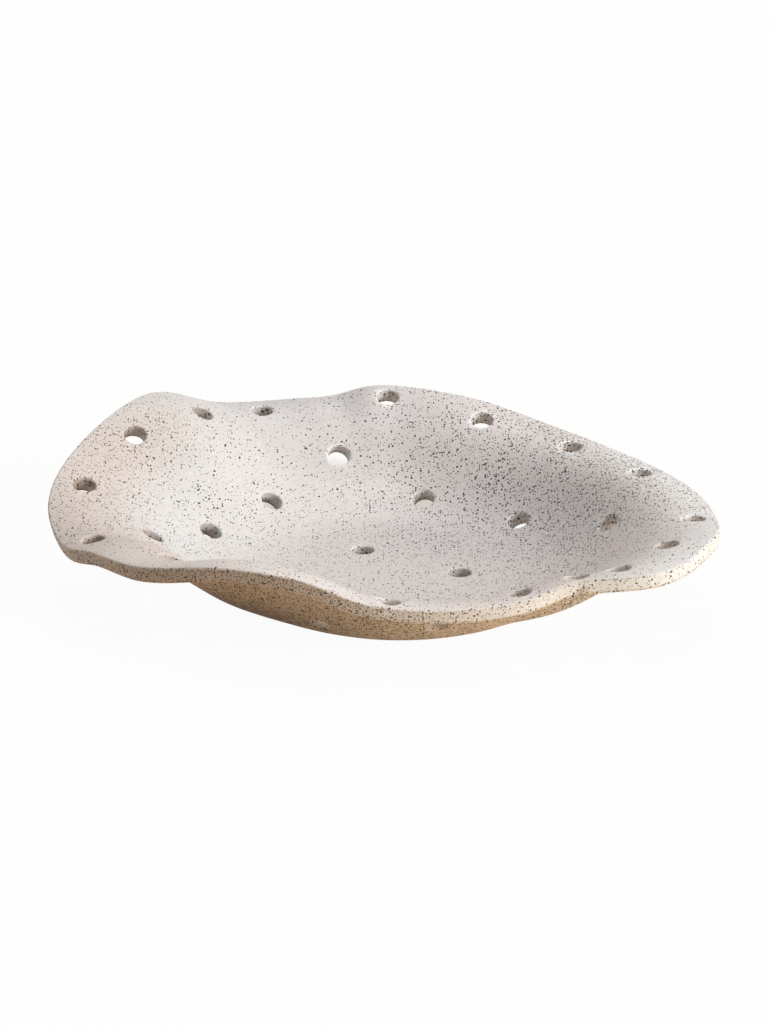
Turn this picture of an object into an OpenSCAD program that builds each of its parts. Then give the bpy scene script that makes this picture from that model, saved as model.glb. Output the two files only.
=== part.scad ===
// Berry colander bowl: a free-form stoneware slab with a wavy rim, punched with drain holes,
// glazed inside and over the rim, and set on a low foot.
// Millimetres. +Z is up, +X points to the right-hand tip. The origin is the middle of the foot, on the table.

/* [Outline] */
// Length of the plain oval that the rim waves about
oval_length = 260; // [230:1:300]
// Depth of that oval, front to back
oval_depth = 202; // [180:1:240]
// How far the oval's middle lies to the left of the foot
oval_left = 7; // [0:1:12]
// How far the oval's middle lies behind the foot
oval_back = 15; // [0:1:20]
// Height above the table that the rim waves about
rim_h = 40; // [34:1:60]
// Size of one step in the list of waves: a smaller step makes a calmer rim
wave_step = 1; // [0.5:0.05:1.2]

/* [Slab] */
// Thickness of the finished wall, glaze included
wall = 6.5; // [5:0.5:8]
// Thickness of the glaze
glaze = 0.5; // [0.3:0.1:0.8]
// Rounding of the rim's upper corner
rim_round = 0.9; // [0.7:0.1:2]
// Rounding of the rim's lower corner
under_round = 1.2; // [1:0.1:2.4]

/* [Floor and wall] */
// Radius of the level floor
floor_r = 43; // [41:1:54]
// How far the wall keeps level as it leaves the floor, as a share of its run
floor_pull = 0.55; // [0.4:0.05:0.6]
// How far the wall keeps the slope of the lip, as a share of its run
lip_pull = 0.5; // [0.4:0.05:0.6]

/* [Drain holes] */
// Diameter of a drain hole
hole_d = 9; // [7:0.5:11]
// Size of one step in the lists of drain holes that give a distance
hole_step = 1; // [0.9:0.05:1.15]

/* [Foot] */
// Outer radius of the foot ring
foot_r = 39; // [36:0.5:41]
// Width of the foot ring
foot_w = 5; // [3:0.5:8]
// Height of the foot ring
foot_h = 4; // [3:0.5:8]
// Chamfer of the foot ring's lower edges
foot_chamfer = 0.8; // [0.4:0.1:1.2]
// Diameter of the half-round notch that drains the foot ring
notch_d = 5; // [3:0.5:6]
// Bearing of that notch
notch_bearing = 60; // [0:5:355]

/* [Hidden] */

// Waves of the rim, anticlockwise from the right-hand tip:
// bearing, steps out from the oval, steps up from rim_h, slope of the lip
waves = [
    [0, 2.5, -5.5, -9],
    [20, -5, -6, -14],
    [38, -6.5, -5.5, -14],
    [54, -5.5, -2, -11],
    [72, -6.5, 6, 9],
    [90, -3, 9, 14],
    [108, -3, 5, 3],
    [124, 7.5, 2.5, -10],
    [136, 4, 13, 0],
    [146, -4.5, 17, 6],
    [160, -5, 10, 14],
    [178, 0, -2.5, -4],
    [188, -0.5, -9.5, -17],
    [197, -3, -6, -17],
    [208, -4, -4.5, -8],
    [228, -1.5, 3.5, -14],
    [246, -0.5, 3, -7],
    [262, -1.5, -6, -12],
    [282, -2, -9.5, -12],
    [302, -3.5, -9.5, -8],
    [316, -3.5, -5.5, -1],
    [328, 13, -3, -4],
    [344, 11, -0.5, 1]
];

// Drain holes along the lip: bearing, steps in from the rim
rim_holes = [
    [24.5, 11.5], [45, 13.5], [68.5, 12.5], [92, 8], [119.5, 13.5], [135, 21], [154, 14], [171.5, 12],
    [190, 10.5], [205.5, 19], [267.5, 7], [304.5, 8.5], [319, 9.5], [326.5, 15.5], [340.5, 15.5], [357.5, 9.5]
];
// Drain holes in the wall: bearing, share of the way from the floor to the rim
wall_holes = [
    [10.5, 0.5], [41.5, 0.24], [80.5, 0.27], [106.5, 0.56], [132.5, 0.29], [161, 0.33], [181.5, 0.56],
    [243.5, 0.31], [282, 0.51]
];
// Drain holes in the floor: bearing, steps from the middle
floor_holes = [[2, 24.5], [120, 27.5]];

floor_z = foot_h + wall;
punch_l = 3 * wall;
bearings = 90;
wall_steps = 10;
corner_step = 30;
clay = "tan";
pale_glaze = "ivory";

// Rim: an oval about its own middle, seen from the foot, with the waves added

function unit(v) = v / norm(v);

function oval_reach(bearing) =
    let (
        along = [2 * cos(bearing) / oval_length, 2 * sin(bearing) / oval_depth],
        off = [-2 * oval_left / oval_length, 2 * oval_back / oval_depth],
        a = along * along,
        b = along * off,
        c = off * off - 1
    )
    (b + sqrt(b * b - a * c)) / a;

// Wave number i, counted on past either end of the list
function wave(i) =
    let (turns = floor(i / len(waves)))
    waves[i - turns * len(waves)] + [360 * turns, 0, 0, 0];

// Smooth curve through the waves, its slope at each taken from the neighbours on both sides
function wave_at(bearing) =
    let (
        round_b = bearing - 360 * floor(bearing / 360),
        i = max([for (k = [0 : len(waves) - 1]) if (waves[k][0] <= round_b) k]),
        before = wave(i - 1),
        here = wave(i),
        next = wave(i + 1),
        after = wave(i + 2),
        span = next[0] - here[0],
        t = (round_b - here[0]) / span,
        leave = (next - before) * span / (next[0] - before[0]),
        arrive = (after - here) * span / (after[0] - here[0])
    )
    (2 * t^3 - 3 * t^2 + 1) * here + (t^3 - 2 * t^2 + t) * leave
    + (3 * t^2 - 2 * t^3) * next + (t^3 - t^2) * arrive;

// Slab: the glazed face runs from the floor's edge, share 0, to the rim, share 1

function face_point(bearing, share) =
    let (
        w = wave_at(bearing),
        reach = oval_reach(bearing) + wave_step * w[1],
        top = rim_h + wave_step * w[2],
        run = reach - floor_r,
        lip = lip_pull * run * [cos(w[3]), sin(w[3])],
        u = 1 - share,
        from_floor = u^3 * [floor_r, floor_z] + 3 * u^2 * share * [floor_r + floor_pull * run, floor_z],
        from_rim = 3 * u * share^2 * ([reach, top] - lip) + share^3 * [reach, top],
        rz = from_floor + from_rim
    )
    [rz[0] * cos(bearing), rz[0] * sin(bearing), rz[1]];

// Direction straight out of the glazed face
function face_normal(bearing, share, d = 0.01) =
    share <= 0 ? [0, 0, 1] :
    unit(cross(
        face_point(bearing, min(share + d, 1)) - face_point(bearing, share - d),
        face_point(bearing + 0.5, share) - face_point(bearing - 0.5, share)
    ));

// Share of the wall at which its face lies a given distance in from the rim, found by halving
function share_in_from_rim(bearing, inset, low = 0, high = 1, tries = 20) =
    let (
        middle = (low + high) / 2,
        rim = face_point(bearing, 1),
        p = face_point(bearing, middle),
        gap = norm([rim[0], rim[1]]) - norm([p[0], p[1]])
    )
    tries == 0 ? middle :
    gap > inset ? share_in_from_rim(bearing, inset, middle, high, tries - 1) :
    share_in_from_rim(bearing, inset, low, middle, tries - 1);

// Section of the wall at one bearing, at a depth under the glazed face, from the floor outwards
function wall_line(bearing, depth) = [
    for (k = [0 : wall_steps - 1])
        let (share = k / wall_steps)
        face_point(bearing, share) - depth * face_normal(bearing, share)
];

// Point of the cut edge: how far out of the rim, and how deep under the glazed face
function edge_point(bearing, out, depth) =
    let (rim = face_point(bearing, 1))
    rim + out * unit(rim - face_point(bearing, 0.98)) - depth * face_normal(bearing, 1);

// Rounded upper corner of the edge, under a cover of glaze
function upper_corner(bearing, cover) = [
    for (a = [0 : corner_step : 90])
        let (r = rim_round - cover)
        edge_point(bearing, r * sin(a) - rim_round, rim_round - r * cos(a))
];

// Rounded lower corner of the edge, in bare clay
function lower_corner(bearing) = [
    for (a = [0 : corner_step : 90])
        edge_point(bearing, under_round * (cos(a) - 1), wall - under_round * (1 - sin(a)))
];

// Foot of the glaze on the edge, under a cover of glaze
function glaze_line(bearing, cover) = [edge_point(bearing, -cover, wall - under_round)];

function backwards(list) = [for (i = [len(list) - 1 : -1 : 0]) list[i]];

function body_section(bearing) = concat(
    wall_line(bearing, glaze),
    upper_corner(bearing, glaze),
    glaze_line(bearing, glaze),
    lower_corner(bearing),
    backwards(wall_line(bearing, wall))
);

// The way back lies on the clay, point for point
function glaze_section(bearing) = concat(
    wall_line(bearing, 0),
    upper_corner(bearing, 0),
    glaze_line(bearing, 0),
    glaze_line(bearing, glaze),
    backwards(upper_corner(bearing, glaze)),
    backwards(wall_line(bearing, glaze))
);

// Skin over sections that run from one middle point to another.
// From section point "turn" on, the triangles are split along the other diagonal.
module skin(sections, first, last, turn) {
    n = len(sections);
    m = len(sections[0]);
    points = concat([for (s = sections) each s], [first, last]);
    faces = [
        for (i = [0 : n - 1])
            let (here = i * m, next = ((i + 1) % n) * m)
            each concat(
                [[n * m, next, here], [n * m + 1, here + m - 1, next + m - 1]],
                [for (j = [0 : m - 2]) j < turn
                    ? [here + j, next + j, next + j + 1]
                    : [here + j, next + j, here + j + 1]],
                [for (j = [0 : m - 2]) j < turn
                    ? [here + j, next + j + 1, here + j + 1]
                    : [next + j, next + j + 1, here + j + 1]]
            )
    ];
    polyhedron(points, faces);
}

module punch(at, along) {
    translate(at)
        rotate([0, acos(along[2]), atan2(along[1], along[0])])
            cylinder(d = hole_d, h = punch_l, center = true, $fn = 48);
}

module punch_wall(bearing, share) {
    punch(face_point(bearing, share), face_normal(bearing, share));
}

module drain_holes() {
    for (h = rim_holes) punch_wall(h[0], share_in_from_rim(h[0], hole_step * h[1]));
    for (h = wall_holes) punch_wall(h[0], h[1]);
    for (h = floor_holes) punch([hole_step * h[1] * cos(h[0]), hole_step * h[1] * sin(h[0]), floor_z], [0, 0, 1]);
}

module bowl_body() {
    sections = [for (i = [0 : bearings - 1]) body_section(i * 360 / bearings)];
    color(clay)
        difference() {
            skin(sections, [0, 0, floor_z - glaze], [0, 0, foot_h], len(sections[0]));
            drain_holes();
        }
}

module glaze_coat() {
    sections = [for (i = [0 : bearings - 1]) glaze_section(i * 360 / bearings)];
    outward = len(wall_line(0, 0)) + len(upper_corner(0, 0));
    color(pale_glaze)
        difference() {
            skin(sections, [0, 0, floor_z], [0, 0, floor_z - glaze], outward);
            drain_holes();
        }
}

module foot_ring() {
    foot_in = foot_r - foot_w;
    color(clay)
        difference() {
            rotate_extrude($fn = 96)
                polygon([
                    [foot_in, foot_h],
                    [foot_in, foot_chamfer],
                    [foot_in + foot_chamfer, 0],
                    [foot_r - foot_chamfer, 0],
                    [foot_r, foot_chamfer],
                    [foot_r, foot_h]
                ]);
            rotate([0, 90, notch_bearing])
                cylinder(d = notch_d, h = foot_r + foot_w, $fn = 48);
        }
}

bowl_body();
glaze_coat();
foot_ring();
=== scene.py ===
"""Berry colander bowl: a free-form stoneware slab with a wavy rim, punched with drain holes.
It is glazed inside and over the rim, bare outside, and stands on a low foot. All in metres."""

import math
from functools import lru_cache

import bmesh
import bpy
from mathutils import Matrix, Vector, kdtree
from mathutils.bvhtree import BVHTree


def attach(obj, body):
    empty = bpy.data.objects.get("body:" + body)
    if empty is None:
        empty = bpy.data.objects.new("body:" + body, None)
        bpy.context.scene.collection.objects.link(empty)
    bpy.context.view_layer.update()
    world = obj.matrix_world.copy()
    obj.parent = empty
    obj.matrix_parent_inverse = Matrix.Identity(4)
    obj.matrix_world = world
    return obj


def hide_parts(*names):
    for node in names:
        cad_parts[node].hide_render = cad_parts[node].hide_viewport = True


MM = 0.001

# Outline and slab, as in the part's source, but with a crisper upper corner to the rim
OVAL_LENGTH = 0.260
OVAL_DEPTH = 0.202
OVAL_LEFT = 0.007
OVAL_BACK = 0.015
RIM_H = 0.040
WALL = 0.0065
GLAZE = 0.0005
RIM_ROUND = 0.0007
UNDER_ROUND = 0.0012
FLOOR_R = 0.043
FLOOR_PULL = 0.55
LIP_PULL = 0.50
HOLE_R = 0.0045
FOOT_R = 0.039
FOOT_W = 0.005
FOOT_H = 0.004
NOTCH_R = 0.0025
NOTCH_BEARING = 60
FLOOR_Z = FOOT_H + WALL

# Waves of the rim, anticlockwise from the right-hand tip:
# bearing, stand-out from the oval in mm, stand-up in mm, slope of the lip in degrees.
# The part's source has none at 96 and 103, and stands half a millimetre higher at 108.
WAVES = [
    (0, 2.5, -5.5, -9), (20, -5, -6, -14), (38, -6.5, -5.5, -14), (54, -5.5, -2, -11), (72, -6.5, 6, 9),
    (90, -3, 9, 14), (96, -3, 8.8, 12), (103, -3, 5.3, 6), (108, -3, 4.5, 3), (124, 7.5, 2.5, -10),
    (136, 4, 13, 0), (146, -4.5, 17, 6), (160, -5, 10, 14), (178, 0, -2.5, -4), (188, -0.5, -9.5, -17),
    (197, -3, -6, -17), (208, -4, -4.5, -8), (228, -1.5, 3.5, -14), (246, -0.5, 3, -7), (262, -1.5, -6, -12),
    (282, -2, -9.5, -12), (302, -3.5, -9.5, -8), (316, -3.5, -5.5, -1), (328, 13, -3, -4), (344, 11, -0.5, 1),
]

# Drain holes: along the lip by bearing and mm in from the rim, in the wall by bearing and share of the
# way from floor to rim, in the floor by bearing and mm from the middle
RIM_HOLES = [
    (24.5, 11.5), (45, 13.5), (68.5, 12.5), (92, 8), (119.5, 13.5), (135, 21), (154, 14), (171.5, 12),
    (190, 10.5), (205.5, 19), (267.5, 7), (304.5, 8.5), (319, 9.5), (326.5, 15.5), (340.5, 15.5),
    (357.5, 9.5),
]
WALL_HOLES = [
    (10.5, 0.5), (41.5, 0.24), (80.5, 0.27), (106.5, 0.56), (132.5, 0.29), (161, 0.33), (181.5, 0.56),
    (243.5, 0.31), (282, 0.51),
]
FLOOR_HOLES = [(2, 24.5), (120, 27.5)]

# Fineness of the mesh
BEARINGS = 300
WALL_RINGS = 36
CORNER_RINGS = 6
FLOOR_RADII = [0.006, 0.014, 0.022, 0.030, 0.037]
HOLE_EDGE_STEPS = 6
PUNCH_SIDES = 40
FOOT_STEPS = 160
RIM_LINE_STEPS = 2880
CLEAN = 0.00003

# Steps by which slopes are taken, tries to find a share, and angles in radians past which an edge is sharp
SHARE_STEP = 0.01
BEARING_STEP = 0.5
HALVINGS = 20
SHARP = 0.8
FOOT_SHARP = 0.6

# A ring this far past each of the rim's corners keeps it crisp
HOLD = 0.0003

# Soft edges of a hole, where it enters the glazed face and where it leaves the bare one: the rounding,
# how many degrees of it are turned, and how far out and up the punch then leads away
HOLE_SOFT = 0.0009
HOLE_TURN = 72
HOLE_LEAD = (0.0012, 0.0004)
EXIT_SOFT = 0.0004
EXIT_TURN = 60
EXIT_LEAD = (0.0005, 0.0003)

# How far the glaze runs down a hole, and how far the clay is drawn in under it
GLAZE_RUN = 0.0058
CLAY_UNDER = 0.9 * GLAZE

# Punches stand out of the slab on both sides, and feel for its faces from further out.
# Where the slab curves, a hole is a little longer than the slab is thick.
PUNCH_OUT = 0.0060
FEEL_FROM = 0.010
FEEL_REACH = 0.016
HOLE_DEEPEST = 1.3 * WALL
NOTCH_LENGTH = 0.020

# Foot: its fillet under the floor, out and up from its top, and its sole's rounding, in and up from the table
LUTE = [(0.0012, 0.0002), (0.0004, -0.0006), (0, -0.0016)]
SOLE = [(0, 0.0012), (0.0003, 0.0005), (0.0011, 0)]

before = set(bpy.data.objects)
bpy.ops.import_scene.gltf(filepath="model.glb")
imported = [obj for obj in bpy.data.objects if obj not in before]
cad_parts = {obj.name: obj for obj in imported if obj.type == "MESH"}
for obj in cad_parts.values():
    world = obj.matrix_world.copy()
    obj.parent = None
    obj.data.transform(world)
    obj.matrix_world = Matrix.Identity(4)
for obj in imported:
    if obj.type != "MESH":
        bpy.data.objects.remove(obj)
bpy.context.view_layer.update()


# Shape of the slab

def spread(a, b, steps):
    return [a + (b - a) * k / steps for k in range(steps + 1)]


def turned(radius, bearing, height):
    angle = math.radians(bearing)
    return Vector((radius * math.cos(angle), radius * math.sin(angle), height))


def oval_reach(bearing):
    """How far the plain oval lies from the foot's middle."""
    angle = math.radians(bearing)
    along = Vector((2 * math.cos(angle) / OVAL_LENGTH, 2 * math.sin(angle) / OVAL_DEPTH))
    off = Vector((-2 * OVAL_LEFT / OVAL_LENGTH, 2 * OVAL_BACK / OVAL_DEPTH))
    a = along.dot(along)
    b = along.dot(off)
    c = off.dot(off) - 1
    return (b + math.sqrt(b * b - a * c)) / a


def wave(i):
    """Wave number i, counted on past either end of the list."""
    turns, k = divmod(i, len(WAVES))
    bearing, out, up, slope = WAVES[k]
    return Vector((bearing + 360 * turns, out, up, slope))


@lru_cache(maxsize=None)
def rim_at(bearing):
    """Reach, height and lip slope of the rim, on a smooth curve through the waves."""
    bearing %= 360
    i = max(k for k in range(len(WAVES)) if WAVES[k][0] <= bearing)
    before, here, after, beyond = (wave(i + k) for k in (-1, 0, 1, 2))
    span = after[0] - here[0]
    t = (bearing - here[0]) / span
    leave = (after - before) * span / (after[0] - before[0])
    arrive = (beyond - here) * span / (beyond[0] - here[0])
    w = (2 * t**3 - 3 * t**2 + 1) * here + (t**3 - 2 * t**2 + t) * leave
    w += (3 * t**2 - 2 * t**3) * after + (t**3 - t**2) * arrive
    return oval_reach(bearing) + w[1] * MM, RIM_H + w[2] * MM, math.radians(w[3])


@lru_cache(maxsize=None)
def face_point(bearing, share):
    """Glazed face, from the floor's edge at share 0 to the rim at share 1."""
    reach, top, slope = rim_at(bearing)
    run = reach - FLOOR_R
    u = 1 - share
    lip = LIP_PULL * run
    radius = u**3 * FLOOR_R + 3 * u**2 * share * (FLOOR_R + FLOOR_PULL * run)
    radius += 3 * u * share**2 * (reach - lip * math.cos(slope)) + share**3 * reach
    height = u**2 * (u + 3 * share) * FLOOR_Z
    height += 3 * u * share**2 * (top - lip * math.sin(slope)) + share**3 * top
    return turned(radius, bearing, height)


@lru_cache(maxsize=None)
def face_normal(bearing, share):
    if share <= 0:
        return Vector((0, 0, 1))
    outward = face_point(bearing, min(share + SHARE_STEP, 1)) - face_point(bearing, share - SHARE_STEP)
    onward = face_point(bearing + BEARING_STEP, share) - face_point(bearing - BEARING_STEP, share)
    return outward.cross(onward).normalized()


def rim_outward(bearing):
    return (face_point(bearing, 1) - face_point(bearing, 1 - 2 * SHARE_STEP)).normalized()


def share_in_from_rim(bearing, inset):
    """Share of the wall at which its face lies that far in from the rim, found by halving."""
    low, high = 0.0, 1.0
    rim = face_point(bearing, 1)
    for _ in range(HALVINGS):
        middle = (low + high) / 2
        gap = rim.xy.length - face_point(bearing, middle).xy.length
        low, high = (middle, high) if gap > inset else (low, middle)
    return middle


# Rings of the slab's section, from the middle of the glazed floor out, over the rim and back underneath

def floor_ring(radius, depth):
    return lambda bearing: turned(radius, bearing, FLOOR_Z - depth)


def wall_ring(share, depth):
    return lambda bearing: face_point(bearing, share) - depth * face_normal(bearing, share)


def edge_ring(out, depth):
    def place(bearing):
        return face_point(bearing, 1) + out * rim_outward(bearing) - depth * face_normal(bearing, 1)
    return place


def upper_corner_ring(angle):
    return edge_ring(RIM_ROUND * (math.sin(angle) - 1), RIM_ROUND * (1 - math.cos(angle)))


def lower_corner_ring(angle):
    return edge_ring(UNDER_ROUND * (math.cos(angle) - 1), WALL - UNDER_ROUND * (1 - math.sin(angle)))


def slab_rings():
    """All the rings in turn, and how many of them are glazed."""
    shares = [k / WALL_RINGS for k in range(WALL_RINGS)]
    angles = [math.radians(a) for a in spread(0, 90, CORNER_RINGS)]
    glazed = [floor_ring(r, 0) for r in FLOOR_RADII]
    glazed += [wall_ring(s, 0) for s in shares]
    glazed.append(edge_ring(-RIM_ROUND - HOLD, 0))
    glazed += [upper_corner_ring(a) for a in angles]
    glazed += [edge_ring(0, RIM_ROUND + HOLD), edge_ring(0, WALL - UNDER_ROUND - HOLD)]
    bare = [lower_corner_ring(a) for a in angles]
    bare += [wall_ring(s, WALL) for s in reversed(shares)]
    bare += [floor_ring(r, WALL) for r in reversed(FLOOR_RADII)]
    return glazed + bare, len(glazed)


# Making meshes

def spun(bm, outline, steps, closed=False):
    """A turning of an outline of (radius, height) pairs about Z. An open outline has its ends filled flat."""
    verts = [bm.verts.new((radius, 0, height)) for radius, height in outline]
    ends = verts[1:] + verts[:1] if closed else verts[1:]
    edges = [bm.edges.new(pair) for pair in zip(verts, ends)]
    bmesh.ops.spin(
        bm, geom=verts + edges, cent=(0, 0, 0), axis=(0, 0, 1), dvec=(0, 0, 0),
        angle=2 * math.pi, steps=steps, use_merge=True,
    )
    bmesh.ops.holes_fill(bm, edges=[e for e in bm.edges if e.is_boundary], sides=0)
    bmesh.ops.recalc_face_normals(bm, faces=bm.faces)


def stand_in(name, bm, materials):
    """The bmesh as an object at the origin."""
    mesh = bpy.data.meshes.new(name)
    bm.to_mesh(mesh)
    bm.free()
    for material in materials:
        mesh.materials.append(material)
    obj = bpy.data.objects.new(name, mesh)
    bpy.context.scene.collection.objects.link(obj)
    return obj


def apply_modifiers(obj):
    bpy.context.view_layer.update()
    seen = obj.evaluated_get(bpy.context.evaluated_depsgraph_get())
    mesh = bpy.data.meshes.new_from_object(seen)
    obj.modifiers.clear()
    obj.data = mesh


def cut(obj, tool):
    """Takes the tool away from the object's mesh, and the tool from the scene."""
    mod = obj.modifiers.new("cut", "BOOLEAN")
    mod.operation = "DIFFERENCE"
    mod.solver = "EXACT"
    mod.object = tool
    apply_modifiers(obj)
    bpy.data.objects.remove(tool)


def smooth_but_sharp(bm, angle):
    for face in bm.faces:
        face.smooth = True
    for edge in bm.edges:
        edge.smooth = edge.calc_face_angle(0) < angle


# Slots of the slab's faces while it is made
GLAZED = 0
BARE = 1


def make_slab():
    """The slab as one closed shell: a can of rings, each carried to its place, then punched."""
    rings, glazed_rings = slab_rings()
    bm = bmesh.new()
    spun(bm, [(1, k) for k in range(len(rings))], BEARINGS)
    for face in bm.faces:
        face.material_index = GLAZED if face.calc_center_median().z < glazed_rings else BARE
    step = 360 / BEARINGS
    for v in bm.verts:
        bearing = round(math.degrees(math.atan2(v.co.y, v.co.x)) / step) % BEARINGS * step
        v.co = rings[round(v.co.z)](bearing)
    bmesh.ops.recalc_face_normals(bm, faces=bm.faces)
    skin = BVHTree.FromBMesh(bm)
    slab = stand_in("slab", bm, [None, None])
    cut(slab, make_punches(skin))
    bm = bmesh.new()
    bm.from_mesh(slab.data)
    bmesh.ops.remove_doubles(bm, verts=bm.verts, dist=CLEAN)
    bmesh.ops.dissolve_degenerate(bm, edges=bm.edges, dist=CLEAN)
    bmesh.ops.triangulate(bm, faces=[f for f in bm.faces if len(f.verts) > 4])
    bm.to_mesh(slab.data)
    bm.free()
    return slab


def hole_places():
    """Where each drain hole meets the glazed face, and the way out of that face."""
    places = []
    for bearing, inset in RIM_HOLES:
        share = share_in_from_rim(bearing, inset * MM)
        places.append((face_point(bearing, share), face_normal(bearing, share)))
    for bearing, share in WALL_HOLES:
        places.append((face_point(bearing, share), face_normal(bearing, share)))
    for bearing, out in FLOOR_HOLES:
        places.append((turned(out * MM, bearing, FLOOR_Z), Vector((0, 0, 1))))
    return places


def soft_corner(size, end):
    """A rounded corner, from the hole's wall to the last few degrees before the face: (out, depth) pairs."""
    angles = [math.radians(a) for a in spread(0, end, HOLE_EDGE_STEPS)]
    low = size * (1 - math.sin(angles[-1]))
    return [(size * (1 - math.cos(a)), size * (1 - math.sin(a)) - low) for a in angles]


def punch_outline():
    """Half of a punch, flared at both ends so that a hole's edges come out soft: (radius, height) pairs."""
    above = [(HOLE_R + out, -depth) for out, depth in soft_corner(HOLE_SOFT, HOLE_TURN)]
    below = [(HOLE_R + out, depth - WALL) for out, depth in soft_corner(EXIT_SOFT, EXIT_TURN)]
    wide_above = above[-1][0] + HOLE_LEAD[0]
    wide_below = below[-1][0] + EXIT_LEAD[0]
    above += [(wide_above, HOLE_LEAD[1]), (wide_above, PUNCH_OUT)]
    below += [(wide_below, -WALL - EXIT_LEAD[1]), (wide_below, -WALL - PUNCH_OUT)]
    return below[::-1] + [(HOLE_R, -GLAZE_RUN), (HOLE_R, -GLAZE_RUN / 2)] + above


def make_punches(skin):
    """One punch for each drain hole, its flares following the slab's own faces."""
    outline = punch_outline()
    up = Vector((0, 0, 1))
    punches = bmesh.new()
    for point, normal in hole_places():
        one = bmesh.new()
        spun(one, outline, PUNCH_SIDES)
        for face in one.faces:
            face.material_index = GLAZED if face.calc_center_median().z > -GLAZE_RUN else BARE
        place = Matrix.Translation(point) @ up.rotation_difference(normal).to_matrix().to_4x4()
        for v in one.verts:
            side = 1 if v.co.z > -WALL / 2 else -1
            level = 0 if side > 0 else -WALL
            flat = place @ Vector((v.co.x, v.co.y, level))
            hit = skin.ray_cast(flat + side * FEEL_FROM * normal, -side * normal, FEEL_REACH)[0]
            rise = (hit - flat).dot(normal) if hit else 0
            v.co = place @ (v.co + Vector((0, 0, rise)))
        mesh = bpy.data.meshes.new("punch")
        one.to_mesh(mesh)
        one.free()
        punches.from_mesh(mesh)
        bpy.data.meshes.remove(mesh)
    return stand_in("punches", punches, [None, None])


def depth_in_hole(holes, co):
    """How far down a drain hole a point lies, as a share of the wall, and 0 outside the holes."""
    for point, normal in holes:
        off = co - point
        depth = -off.dot(normal)
        if 0 < depth < HOLE_DEEPEST and (off + depth * normal).length < HOLE_R + HOLE_SOFT:
            return min(depth / WALL, 1.0)
    return 0.0


def mark(bm, name, value):
    """Gives each vertex a number for the finishes to read."""
    layer = bm.verts.layers.float.new(name)
    for v in bm.verts:
        v[layer] = value(v)


class RimLine:
    """The line of the rim's upper corner, for finding where a point lies beside it."""

    def __init__(self):
        bearings = spread(0, 360, RIM_LINE_STEPS)[:-1]
        corner_middle = 0.3 * RIM_ROUND
        place = edge_ring(-corner_middle, corner_middle)
        self.normals = [face_normal(bearing, 1) for bearing in bearings]
        self.outward = [rim_outward(bearing) for bearing in bearings]
        self.tree = kdtree.KDTree(len(bearings))
        for k, bearing in enumerate(bearings):
            self.tree.insert(place(bearing), k)
        self.tree.balance()

    def distance(self, co):
        return self.tree.find(co)[2]

    def over(self, co):
        """How far over the rim a point lies: 0 on the face, 1 on the cut edge."""
        corner, k, gap = self.tree.find(co)
        off = co - corner
        if gap > WALL or off.dot(self.outward[k]) < -RIM_ROUND:
            return 0.0
        return min(max(-off.dot(self.normals[k]) / RIM_ROUND, 0.0), 1.0)


def make_body(slab, finish):
    """The clay: the slab, drawn in under its coat of glaze."""
    bm = bmesh.new()
    bm.from_mesh(slab.data)
    bm.normal_update()
    covered = [v for v in bm.verts if all(f.material_index == GLAZED for f in v.link_faces)]
    moves = [(v, v.co - CLAY_UNDER * v.normal) for v in covered]
    for v, place in moves:
        v.co = place
    for face in bm.faces:
        face.material_index = 0
    smooth_but_sharp(bm, SHARP)
    return stand_in("bowl_clay", bm, [finish])


def make_glaze(slab, finish):
    """The coat of glaze: the slab's glazed faces, given their thickness inwards."""
    bm = bmesh.new()
    bm.from_mesh(slab.data)
    bmesh.ops.delete(bm, geom=[f for f in bm.faces if f.material_index == BARE], context="FACES")
    rim = RimLine()
    holes = hole_places()
    mark(bm, "to_rim", lambda v: rim.distance(v.co))
    mark(bm, "on_edge", lambda v: rim.over(v.co))
    mark(bm, "in_hole", lambda v: depth_in_hole(holes, v.co))
    smooth_but_sharp(bm, SHARP)
    coat = stand_in("bowl_glaze", bm, [finish])
    mod = coat.modifiers.new("coat", "SOLIDIFY")
    mod.thickness = GLAZE
    mod.offset = -1
    apply_modifiers(coat)
    return coat


def make_foot(finish):
    """The foot: a ring of clay luted under the floor, wiped round, with one notch to drain it."""
    inner = FOOT_R - FOOT_W
    outline = [(inner - out, FOOT_H + up) for out, up in LUTE]
    outline += [(inner + within, up) for within, up in SOLE]
    outline += [(FOOT_R - within, up) for within, up in reversed(SOLE)]
    outline += [(FOOT_R + out, FOOT_H + up) for out, up in reversed(LUTE)]
    bm = bmesh.new()
    spun(bm, outline, FOOT_STEPS, closed=True)
    foot = stand_in("foot", bm, [finish])
    notch = bmesh.new()
    lie = Matrix.Rotation(math.radians(NOTCH_BEARING), 4, "Z") @ Matrix.Translation((FOOT_R, 0, 0))
    lie = lie @ Matrix.Rotation(math.radians(90), 4, "Y")
    bmesh.ops.create_cone(
        notch, cap_ends=True, segments=PUNCH_SIDES, radius1=NOTCH_R, radius2=NOTCH_R, depth=NOTCH_LENGTH,
        matrix=lie,
    )
    cut(foot, stand_in("notch", notch, [None]))
    bm = bmesh.new()
    bm.from_mesh(foot.data)
    smooth_but_sharp(bm, FOOT_SHARP)
    bm.to_mesh(foot.data)
    bm.free()
    return foot


# Finishes

# Specks: how wide the soft edges of a speck and of its pale ring are, the least radius as a share of the
# biggest, how far the ring reaches in radii, and over how much of its share a speck fades in
SPECK_EDGE = 0.00005
RING_EDGE = 0.00020
LEAST_SPECK = 0.65
RING_REACH = 2.2
DRAWN_OVER = 1 / 30

# How much finer lumps count in a cloud, and how deep the relief is
CLOUD_GRAIN = 0.55
RELIEF_DEPTH = 0.0004


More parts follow.
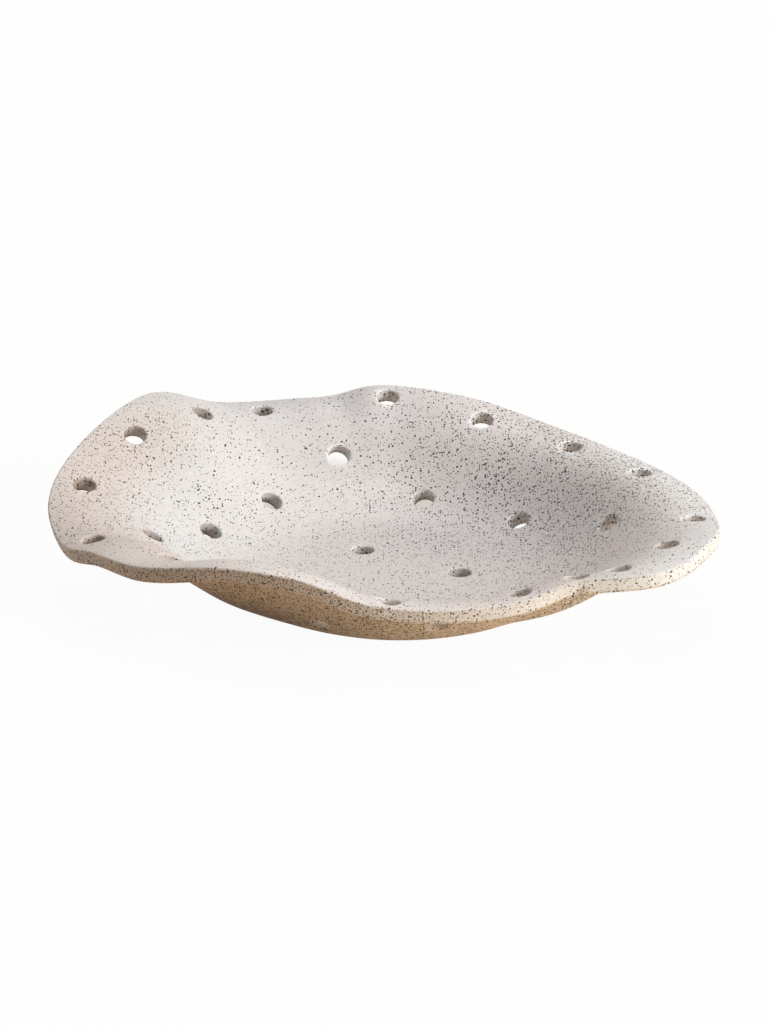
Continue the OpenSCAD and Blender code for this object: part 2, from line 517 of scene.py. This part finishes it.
class Wire:
    """A socket of a finish, so that sums on it can be written plainly."""

    def __init__(self, finish, socket):
        self.finish = finish
        self.socket = socket

    def sum(self, operation, first, second):
        return self.finish.node("ShaderNodeMath", {"operation": operation}, {0: first, 1: second})

    def __add__(self, other):
        return self.sum("ADD", self, other)

    def __radd__(self, other):
        return self.sum("ADD", other, self)

    def __sub__(self, other):
        return self.sum("SUBTRACT", self, other)

    def __rsub__(self, other):
        return self.sum("SUBTRACT", other, self)

    def __mul__(self, other):
        return self.sum("MULTIPLY", self, other)

    def __rmul__(self, other):
        return self.sum("MULTIPLY", other, self)

    def __truediv__(self, other):
        return self.sum("DIVIDE", self, other)

    def __rtruediv__(self, other):
        return self.sum("DIVIDE", other, self)

    def __pow__(self, other):
        return self.sum("POWER", self, other)

    def at_most(self, other):
        return self.sum("MINIMUM", self, other)

    def at_least(self, other):
        return self.sum("MAXIMUM", self, other)

    def kept(self):
        """Held between 0 and 1."""
        return self.at_least(0.0).at_most(1.0)

    def rise(self, start, end):
        """0 at start and 1 at end, straight between and held beyond. Start may be the greater."""
        return ((self - start) / (end - start)).kept()

    def also(self, name):
        """Another output of the same node."""
        return Wire(self.finish, self.socket.node.outputs[name])


class Finish:
    """A material, or the world, under construction."""

    def __init__(self, owner):
        self.owner = owner
        owner.use_nodes = True
        self.tree = owner.node_tree
        self.tree.nodes.clear()

    def node(self, kind, settings, sockets, out=0):
        """Adds a node: its settings first, then the values or links of its sockets."""
        node = self.tree.nodes.new(kind)
        for name, value in settings.items():
            setattr(node, name, value)
        for name, value in sockets.items():
            if isinstance(value, Wire):
                self.tree.links.new(value.socket, node.inputs[name])
            elif isinstance(value, tuple) and node.inputs[name].type == "RGBA":
                node.inputs[name].default_value = (*value, 1)
            else:
                node.inputs[name].default_value = value
        return Wire(self, node.outputs[out]) if node.outputs else node

    def place(self):
        return self.node("ShaderNodeTexCoord", {}, {}, "Object")

    def ways(self, place):
        """A place's X, Y and Z."""
        x = self.node("ShaderNodeSeparateXYZ", {}, {0: place})
        return x, x.also("Y"), x.also("Z")

    def marked(self, name):
        """A number that the vertices were given."""
        return self.node("ShaderNodeAttribute", {"attribute_name": name}, {}, "Fac")

    def blend(self, share, one, other):
        """Colour one where share is 0, the other where it is 1."""
        return self.node("ShaderNodeMix", {"data_type": "RGBA"}, {0: share, 6: one, 7: other}, 2)

    def layered(self, colour, layers):
        """A colour under others, laid over it in turn: (share, colour) pairs."""
        for share, over in layers:
            colour = self.blend(share, colour, over)
        return colour

    def vector(self, operation, first, second):
        return self.node("ShaderNodeVectorMath", {"operation": operation}, {0: first, 1: second})

    def scaled(self, vector, scale):
        return self.node("ShaderNodeVectorMath", {"operation": "SCALE"}, {0: vector, "Scale": scale})

    def moved(self, place, push, reach):
        """A place pushed about by a colour, at most by half of reach each way."""
        return self.vector("ADD", place, self.scaled(self.vector("SUBTRACT", push, (0.5, 0.5, 0.5)), reach))

    def cloud(self, place, size, detail=2.0, out=0):
        """Soft noise whose lumps are about that size."""
        sockets = {"Vector": place, "Scale": 1 / size, "Detail": detail, "Roughness": CLOUD_GRAIN}
        return self.node("ShaderNodeTexNoise", {}, sockets, out)

    def specks(self, place, spacing, biggest, share):
        """Round iron specks, and the rings of glaze that they have bleached.
        Given are their spacing and biggest radius, and the share of places that hold one."""
        cell = self.node("ShaderNodeTexVoronoi", {"feature": "F1"}, {"Vector": place, "Scale": 1 / spacing})
        lots = self.node("ShaderNodeSeparateColor", {}, {0: cell.also("Color")})
        radius = biggest / spacing * (LEAST_SPECK + (1 - LEAST_SPECK) * lots.also("Green"))
        drawn = (share - lots).rise(0.0, DRAWN_OVER)
        speck = ((radius - cell) * (spacing / SPECK_EDGE)).kept() * drawn
        ring = ((RING_REACH * radius - cell) * (spacing / RING_EDGE)).kept() * drawn
        return speck, ring

    def patch(self, x, y, middle, reach):
        """A soft patch of the plan: 1 at its middle, a half at its reach."""
        across = ((x - middle[0]) / reach[0]) ** 2.0
        along = ((y - middle[1]) / reach[1]) ** 2.0
        return 1 / (1 + (across + along) ** 2.0)

    def bump(self, strength, height):
        sockets = {"Strength": strength, "Distance": RELIEF_DEPTH, "Height": height}
        return self.node("ShaderNodeBump", {}, sockets)

    def close(self, **sockets):
        """The shader that ends the finish."""
        named = {name.replace("_", " "): value for name, value in sockets.items()}
        shader = self.node("ShaderNodeBsdfPrincipled", {}, named)
        self.node("ShaderNodeOutputMaterial", {}, {"Surface": shader})
        return self.owner


# Specks of the glaze and of the clay: spacing and biggest radius
GLAZE_FINE = (0.00085, 0.00030)
GLAZE_MIDDLING = (0.00110, 0.00047)
GLAZE_BOLD = (0.00190, 0.00058)
GLAZE_SANDY = (0.00070, 0.00026)
CLAY_FINE = (0.00066, 0.00030)
CLAY_MIDDLING = (0.00100, 0.00043)
CLAY_BOLD = (0.00220, 0.00062)

# Patches of the glaze in plan, by middle and reach: many specks, few at the back, few at the front left,
# and two greyer ones that are painted shade, on the shaded right wall and by the back rim
CROWDED = ((0.075, 0.060), (0.062, 0.058))
SPARSE = ((-0.050, 0.090), (0.035, 0.030))
CALM = ((-0.085, -0.050), (0.050, 0.028))
WALL_SHADE_PATCH = ((0.050, 0.044), (0.065, 0.038))
BACK_SHADE_PATCH = ((-0.008, 0.100), (0.030, 0.024))

# Tones of the glaze: two where a cloud or a rise goes from one to the other
COOL_TONES = ((0.754, 0.718, 0.691), (0.797, 0.767, 0.743))
WARM_TONES = ((0.810, 0.717, 0.681), (0.856, 0.765, 0.730))
# Painted shade: greyer tones on the right wall and by the back rim, where the bowl's form lies in shade
WALL_SHADE_TONE = (0.650, 0.610, 0.595)
BACK_SHADE_TONE = (0.650, 0.615, 0.595)
# Painted light: a paler tone on the right-hand tip, which faces the key lamp
TIP_LIGHT_TONE = (0.890, 0.850, 0.815)
LIP_TONE = (0.745, 0.645, 0.580)
# Painted light and shade along the strip by the front rim: paler at its left part, darker and warmer at the
# right
BROW_LIGHT_SHADE_TONES = ((0.910, 0.825, 0.765), (0.740, 0.640, 0.570))
# Painted highlight: the pale rounded edge of a hole where it catches the light
HOLE_HIGHLIGHT_TONE = (0.930, 0.895, 0.870)
# Painted shade and light on the rim's cut edge: dark brown at the shaded left end, pale at the lit right end,
# palest at its tip
EDGE_SHADE_LIGHT_TONES = ((0.560, 0.400, 0.285), (0.900, 0.810, 0.705))
EDGE_TIP_LIGHT_TONE = (0.950, 0.890, 0.800)
# Painted shade and light in the holes' walls: dark in the shaded holes at the left, pale in the lit ones to
# the right
HOLE_SHADE_LIGHT_TONES = ((0.560, 0.460, 0.380), (0.800, 0.755, 0.735))
EXIT_TONE = (0.680, 0.500, 0.350)
IRON_TONES = ((0.012, 0.010, 0.008), (0.050, 0.035, 0.028))
RUST_TONES = ((0.035, 0.019, 0.012), (0.160, 0.075, 0.040))
RING_LIFT = 0.09

# Tones of the clay, from the left end to the right, low on the belly, in its sand and in its specks.
# The paler right end and tip are painted light, and the darker low left of the belly is painted shade.
BUFF_TONES = ((0.590, 0.390, 0.245), (0.670, 0.460, 0.300))
# Painted light: the clay paler to the right and at the tip, where the key lamp falls on the belly
RIGHT_LIT_BUFF = (0.980, 0.770, 0.545)
TIP_LIT_BUFF = (0.980, 0.870, 0.720)
# Painted shade: darker clay low on the belly at the left, where it turns under
LOW_LEFT_SHADE_BUFF = (0.280, 0.185, 0.125)
SAND_TONE = (0.500, 0.340, 0.220)
CLAY_IRON_TONES = ((0.016, 0.009, 0.006), (0.060, 0.030, 0.017))


def glaze_finish():
    """Pale satin glaze over speckled clay: iron burns through, and it runs thin and warm over the lips."""
    f = Finish(bpy.data.materials.new("speckled_glaze"))
    place = f.place()
    x, y, z = f.ways(place)
    to_rim = f.marked("to_rim")
    on_edge = f.marked("on_edge")
    in_hole = f.marked("in_hole")

    # Where things are: the right end, its tip, the level floor, the rim's corner, the inside of a hole,
    # the thin glaze that lets clay through, the warm lip, the strip by the front rim and its left part
    # (painted light and shade), the painted highlight round a hole's lit edge, and the lower end of the holes
    # at the front
    right = x.rise(-0.025, 0.055)
    tip = x.rise(0.065, 0.095) * to_rim.rise(0.026, 0.008)
    level = z.rise(0.018, 0.012)
    corner = to_rim.rise(0.0012, 0.0) * on_edge.rise(0.0, 1 / 3)
    inside = in_hole.rise(0.10, 0.30)
    worn = (on_edge * (1 - 0.85 * right)).at_least(corner).at_least(inside * 0.15)
    lip = to_rim.rise(0.042, 0.017) * y.rise(0.095, 0.045)
    lip = lip * (0.30 + 0.70 * x.rise(-0.030, -0.080)) * (1 - tip)
    brow = to_rim.rise(0.014, 0.006) * y.rise(-0.010, -0.030)
    left_brow = x.rise(-0.025, -0.060) * x.rise(-0.105, -0.075)
    hole_highlight = in_hole.rise(0.15, 0.09) * in_hole.rise(0.0, 0.025) * x.rise(-0.070, -0.040)
    low_exit = in_hole.rise(0.30, 0.60) * y.rise(-0.020, -0.040)

    # Specks
    rough_place = f.moved(place, f.cloud(place, 0.0009, 1.0, "Color"), 0.0004)
    drift = f.cloud(place, 0.040, 2.0) - 0.5
    crowded = f.patch(x, y, *CROWDED)
    sparse = f.patch(x, y, *SPARSE)
    calm = f.patch(x, y, *CALM) * (1 - on_edge)
    share = 0.22 + 0.40 * crowded + 0.40 * drift
    share = share * (1 - 0.25 * level) * (1 - 0.5 * sparse) * (1 - 0.6 * calm)
    share = share * (1 - 0.7 * right * on_edge) * (1 - 0.5 * brow * (1 - on_edge))
    fine_share = 0.38 + 0.20 * share + 0.25 * lip + 0.60 * worn - 0.15 * sparse - 0.40 * calm
    middling_share = share + 0.12 * lip * (1 - calm) + 0.50 * worn
    bold_share = 0.15 + 0.55 * crowded + 0.55 * inside
    fine, fine_ring = f.specks(rough_place, *GLAZE_FINE, fine_share)
    middling, middling_ring = f.specks(rough_place, *GLAZE_MIDDLING, middling_share)
    bold, bold_ring = f.specks(rough_place, *GLAZE_BOLD, bold_share)
    sandy, _ = f.specks(rough_place, *GLAZE_SANDY, 0.9 * worn)
    dark = fine.at_least(middling).at_least(bold).at_least(sandy)
    ring = middling_ring.at_least(bold_ring).at_least(fine_ring * 0.6)

    # Colour
    thin = f.cloud(place, 0.022, 3.0)
    pale = f.blend(x.rise(-0.080, 0.080), f.blend(thin, *COOL_TONES), f.blend(thin, *WARM_TONES))
    # The rim's edge, in painted shade at the left and painted light at the right and the tip
    edge = f.blend(tip, f.blend(right, *EDGE_SHADE_LIGHT_TONES), EDGE_TIP_LIGHT_TONE)
    # The holes' walls: painted shade at the left, painted light to the right, and bare clay low in the front
    # holes
    wall = f.blend(low_exit * 0.9, f.blend(x.rise(-0.114, -0.054), *HOLE_SHADE_LIGHT_TONES), EXIT_TONE)
    pale = f.layered(pale, [
        # Painted shade on the shaded right wall
        (f.patch(x, y, *WALL_SHADE_PATCH) * 0.85, WALL_SHADE_TONE),
        # Painted light on the tip
        (tip * 0.9, TIP_LIGHT_TONE),
        (lip, LIP_TONE),
        # Painted light and shade on the strip by the front rim
        (brow * (0.35 + 0.50 * left_brow) * (1 - tip), f.blend(right, *BROW_LIGHT_SHADE_TONES)),
        # Painted shade by the back rim
        (f.patch(x, y, *BACK_SHADE_PATCH) * 0.55, BACK_SHADE_TONE),
        # Painted highlight round the holes' lit edges
        (hole_highlight * 0.7, HOLE_HIGHLIGHT_TONE),
        # The rim's edge, with its painted shade and light
        (on_edge * 0.90, edge),
        (inside * 0.85, wall),
    ])
    lot = f.cloud(place, 0.004, 1.0)
    rusty = lip.at_least(on_edge * 0.3)
    iron = f.blend(rusty, f.blend(lot, *IRON_TONES), f.blend(lot, *RUST_TONES))
    colour = f.blend(dark, f.scaled(pale, 1 + RING_LIFT * ring), iron)

    ripple = f.cloud(place, 0.012, 2.0) * 0.7 + f.cloud(place, 0.0016, 2.0) * 0.12
    relief = f.bump(0.35, ripple - dark * 0.15)
    roughness = 0.40 + 0.12 * thin + 0.15 * dark
    return f.close(Base_Color=colour, Roughness=roughness, Normal=relief, Specular_IOR_Level=0.42)


def clay_finish():
    """Bare buff stoneware, dry and sandy, freckled brown."""
    f = Finish(bpy.data.materials.new("bare_stoneware"))
    place = f.place()
    x, _, z = f.ways(place)
    rough_place = f.moved(place, f.cloud(place, 0.0011, 1.0, "Color"), 0.0006)
    drift = f.cloud(place, 0.035, 3.0)
    share = 0.55 + 0.45 * drift
    fine, _ = f.specks(rough_place, *CLAY_FINE, share - 0.25)
    middling, _ = f.specks(rough_place, *CLAY_MIDDLING, share)
    bold, _ = f.specks(rough_place, *CLAY_BOLD, share - 0.30)
    dark = fine.at_least(middling).at_least(bold)
    sand = f.cloud(place, 0.0007, 2.0)
    buff = f.layered(f.blend(drift, *BUFF_TONES), [
        # Painted light on the right end and the tip
        (x.rise(-0.080, 0.080) * 0.9, RIGHT_LIT_BUFF),
        (x.rise(0.050, 0.090) * 0.9, TIP_LIT_BUFF),
        # Painted shade low on the belly at the left
        (z.rise(0.024, 0.014) * x.rise(-0.005, -0.055) * 0.9, LOW_LEFT_SHADE_BUFF),
        (sand * 0.35, SAND_TONE),
    ])
    iron = f.blend(f.cloud(place, 0.004, 1.0), *CLAY_IRON_TONES)
    colour = f.blend(dark, buff, iron)
    relief = f.bump(0.45, sand * 0.5 + f.cloud(place, 0.008, 2.0))
    return f.close(Base_Color=colour, Roughness=0.82, Normal=relief, Specular_IOR_Level=0.30)


# Stage

WHITE = (1.0, 1.0, 1.0)
TABLE = (0.94, 0.87, 0.76)
SHADED = (1.00, 0.92, 0.80)
FILL = (1.0, 0.99, 0.98)
FILL_LEVEL = 0.05
FLOOR_SIZE = 4.0

# How much of the floor shows as plain white, and how much less in the patch of shadow behind the bowl that
# shows through its holes. That patch has a turn, a middle along and across it, and a reach.
WHITE_SHARE = 0.96
SHADOW_SHARE = 0.50
SHADOW_TURN = math.radians(31)
SHADOW_MIDDLE = (0.089, 0.080)
SHADOW_REACH = (0.070, 0.038)

CAMERA_PLACE = (-0.0050, -1.0284, 0.4471)
CAMERA_AIM = (-0.0050, -0.0043, 0.0375)
LAMP_AIM = (0, 0, 0.03)


def backdrop_seen(f):
    """1 for the rays that show the floor and the world as a plain white ground."""
    path = f.node("ShaderNodeLightPath", {}, {}, "Is Camera Ray")
    return path.at_least(path.also("Is Glossy Ray")).at_least(path.also("Is Transmission Ray"))


def make_floor():
    """A pale table to the light, and to the camera a white ground that keeps some of the bowl's shadow."""
    f = Finish(bpy.data.materials.new("pale_floor"))
    x, y, _ = f.ways(f.place())
    along = y * math.sin(SHADOW_TURN) - x * math.cos(SHADOW_TURN) - SHADOW_MIDDLE[0]
    across = y * math.cos(SHADOW_TURN) + x * math.sin(SHADOW_TURN) - SHADOW_MIDDLE[1]
    off = (along / SHADOW_REACH[0]) ** 2.0 + (across / SHADOW_REACH[1]) ** 2.0
    table = f.node("ShaderNodeBsdfDiffuse", {}, {"Color": TABLE})
    shade = f.node("ShaderNodeBsdfDiffuse", {}, {"Color": SHADED})
    white = f.node("ShaderNodeEmission", {}, {"Color": WHITE, "Strength": 1.0})
    whiteness = WHITE_SHARE - SHADOW_SHARE * off.rise(1.25, 0.75)
    shown = f.node("ShaderNodeMixShader", {}, {0: whiteness, 1: shade, 2: white})
    mixed = f.node("ShaderNodeMixShader", {}, {0: backdrop_seen(f), 1: table, 2: shown})
    f.node("ShaderNodeOutputMaterial", {}, {"Surface": mixed})
    bm = bmesh.new()
    bmesh.ops.create_grid(bm, x_segments=1, y_segments=1, size=FLOOR_SIZE)
    floor = stand_in("floor", bm, [f.owner])


def light_world():
    world = bpy.data.worlds.new("studio")
    bpy.context.scene.world = world
    f = Finish(world)
    soft = f.node("ShaderNodeBackground", {}, {"Color": FILL, "Strength": FILL_LEVEL})
    white = f.node("ShaderNodeBackground", {}, {"Color": WHITE, "Strength": 1.0})
    mixed = f.node("ShaderNodeMixShader", {}, {0: backdrop_seen(f), 1: soft, 2: white})
    f.node("ShaderNodeOutputWorld", {}, {"Surface": mixed})


def aimed(name, data, place, aim):
    """A lamp or a camera at its place, turned to its aim."""
    obj = bpy.data.objects.new(name, data)
    obj.location = place
    obj.rotation_euler = (Vector(aim) - Vector(place)).to_track_quat("-Z", "Y").to_euler()
    bpy.context.scene.collection.objects.link(obj)
    return obj


def lamp(name, place, size, power):
    data = bpy.data.lights.new(name, "AREA")
    data.shape = "DISK"
    data.size = size
    data.energy = power
    aimed(name, data, place, LAMP_AIM)


def make_camera():
    data = bpy.data.cameras.new("camera")
    data.lens = 100
    data.sensor_width = 36
    bpy.context.scene.camera = aimed("camera", data, CAMERA_PLACE, CAMERA_AIM)


bpy.context.scene.view_settings.view_transform = "Standard"
make_camera()
make_floor()
light_world()
lamp("key", (2.64, -1.44, 1.10), 1.6, 82)
lamp("top", (0, 0, 3.2), 0.8, 33)
lamp("back", (0, 1.85, 2.60), 0.8, 17)

glaze = glaze_finish()
clay = clay_finish()
slab = make_slab()
pieces = [
    (make_body(slab, clay), "bowl_body", "stoneware"),
    (make_glaze(slab, glaze), "glaze_coat", "glaze"),
    (make_foot(clay), "foot_ring", "stoneware"),
]
bpy.data.objects.remove(slab)

for piece, node, slot in pieces:
    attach(piece, "root")
    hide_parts(node)
